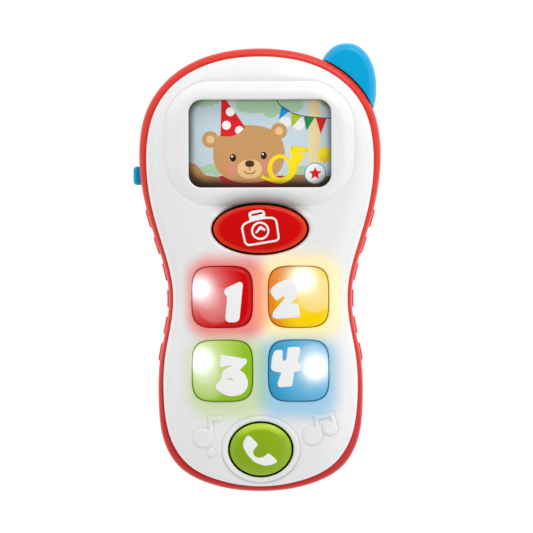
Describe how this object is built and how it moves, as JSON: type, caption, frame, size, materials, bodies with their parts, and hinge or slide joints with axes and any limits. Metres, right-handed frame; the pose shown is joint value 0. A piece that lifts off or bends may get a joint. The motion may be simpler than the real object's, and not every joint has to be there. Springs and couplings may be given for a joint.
{
  "type": "toy cell phone",
  "caption": "Toddler's toy phone with an hourglass body, large lit number keys, oval camera and call buttons, a picture screen, a stub antenna and a side slide switch.",
  "frame": {"origin": "on the flat back of the rear shell that the phone lies on, midway along and across the body", "axes": "+Z out of the keys, +Y along the body towards the antenna end, +X to the right of a person reading the keys"},
  "size_m": [0.0928, 0.1681, 0.0303],
  "materials": {
    "face_white": "glossy white ABS, injection moulded",
    "case_red": "glossy red ABS, injection moulded",
    "trim_blue": "glossy blue ABS, injection moulded",
    "window_clear": "clear polystyrene, polished",
    "picture_print": "printed card, coated",
    "holder_white": "plain white ABS",
    "key_red": "translucent red plastic, glossy",
    "key_yellow": "translucent yellow plastic, glossy",
    "key_green": "translucent green plastic, glossy",
    "key_blue": "translucent blue plastic, glossy",
    "camera_red": "glossy red plastic with a white print",
    "call_green": "glossy green plastic with a white print",
    "board_green": "circuit board with green solder mask",
    "silicone_grey": "translucent silicone rubber",
    "black_plastic": "black epoxy or moulded plastic",
    "led_lens": "clear epoxy lens",
    "steel": "zinc-plated steel",
    "nickel": "nickel-plated spring steel",
    "cell_sleeve": "printed shrink sleeve",
    "paper_cone": "black paper",
    "wire_red": "red PVC sleeve",
    "wire_black": "black PVC sleeve"
  },
  "bodies": {
    "case": {"antenna": "trim_blue", "battery_1": "cell_sleeve", "battery_2": "cell_sleeve", "battery_bridge": "nickel", "battery_contact_minus": "nickel", "battery_contact_plus": "nickel", "battery_door": "case_red", "battery_door_screw": "steel", "battery_spring_lower": "nickel", "battery_spring_upper": "nickel", "battery_wire_minus": "wire_black", "battery_wire_plus": "wire_red", "board_screw_1": "steel", "board_screw_2": "steel", "board_screw_3": "steel", "board_screw_4": "steel", "capacitor": "black_plastic", "card_holder": "holder_white", "case_screw_1": "steel", "case_screw_2": "steel", "case_screw_3": "steel", "case_screw_4": "steel", "front_shell": "face_white", "holder_screw_1": "steel", "holder_screw_2": "steel", "keypad_mat": "silicone_grey", "led_1": "led_lens", "led_2": "led_lens", "led_3": "led_lens", "led_4": "led_lens", "main_board": "board_green", "picture_card": "picture_print", "rear_shell": "case_red", "screen_window": "window_clear", "sound_chip": "black_plastic", "speaker_cone": "paper_cone", "speaker_frame": "steel", "speaker_magnet": "steel", "speaker_wire_a": "wire_black", "speaker_wire_b": "wire_red", "switch_board": "board_green", "switch_body": "steel", "switch_wire_a": "wire_black", "switch_wire_b": "wire_red"},
    "camera_cap": {"camera_button": "camera_red"},
    "key_1_cap": {"key_1": "key_red"},
    "key_2_cap": {"key_2": "key_yellow"},
    "key_3_cap": {"key_3": "key_green"},
    "key_4_cap": {"key_4": "key_blue"},
    "call_cap": {"call_button": "call_green"},
    "switch_slide": {"slide_knob": "trim_blue", "switch_lever": "black_plastic"}
  },
  "joints": [
    {"name": "camera_press", "type": "slide", "parent": "case", "child": "camera_cap", "axis": [0, 0, -1], "range_m": [0, 0.0015], "stiffness_N_per_m": 400, "springref_m": -0.0005, "deforming": ["keypad_mat"]},
    {"name": "key_1_press", "type": "slide", "parent": "case", "child": "key_1_cap", "axis": [0, 0, -1], "range_m": [0, 0.0015], "stiffness_N_per_m": 400, "springref_m": -0.0005, "deforming": ["keypad_mat"]},
    {"name": "key_2_press", "type": "slide", "parent": "case", "child": "key_2_cap", "axis": [0, 0, -1], "range_m": [0, 0.0015], "stiffness_N_per_m": 400, "springref_m": -0.0005, "deforming": ["keypad_mat"]},
    {"name": "key_3_press", "type": "slide", "parent": "case", "child": "key_3_cap", "axis": [0, 0, -1], "range_m": [0, 0.0015], "stiffness_N_per_m": 400, "springref_m": -0.0005, "deforming": ["keypad_mat"]},
    {"name": "key_4_press", "type": "slide", "parent": "case", "child": "key_4_cap", "axis": [0, 0, -1], "range_m": [0, 0.0015], "stiffness_N_per_m": 400, "springref_m": -0.0005, "deforming": ["keypad_mat"]},
    {"name": "call_press", "type": "slide", "parent": "case", "child": "call_cap", "axis": [0, 0, -1], "range_m": [0, 0.0015], "stiffness_N_per_m": 400, "springref_m": -0.0005, "deforming": ["keypad_mat"]},
    {"name": "switch_travel", "type": "slide", "parent": "case", "child": "switch_slide", "axis": [0, 1, 0], "range_m": [-0.002, 0.002]}
  ]
}
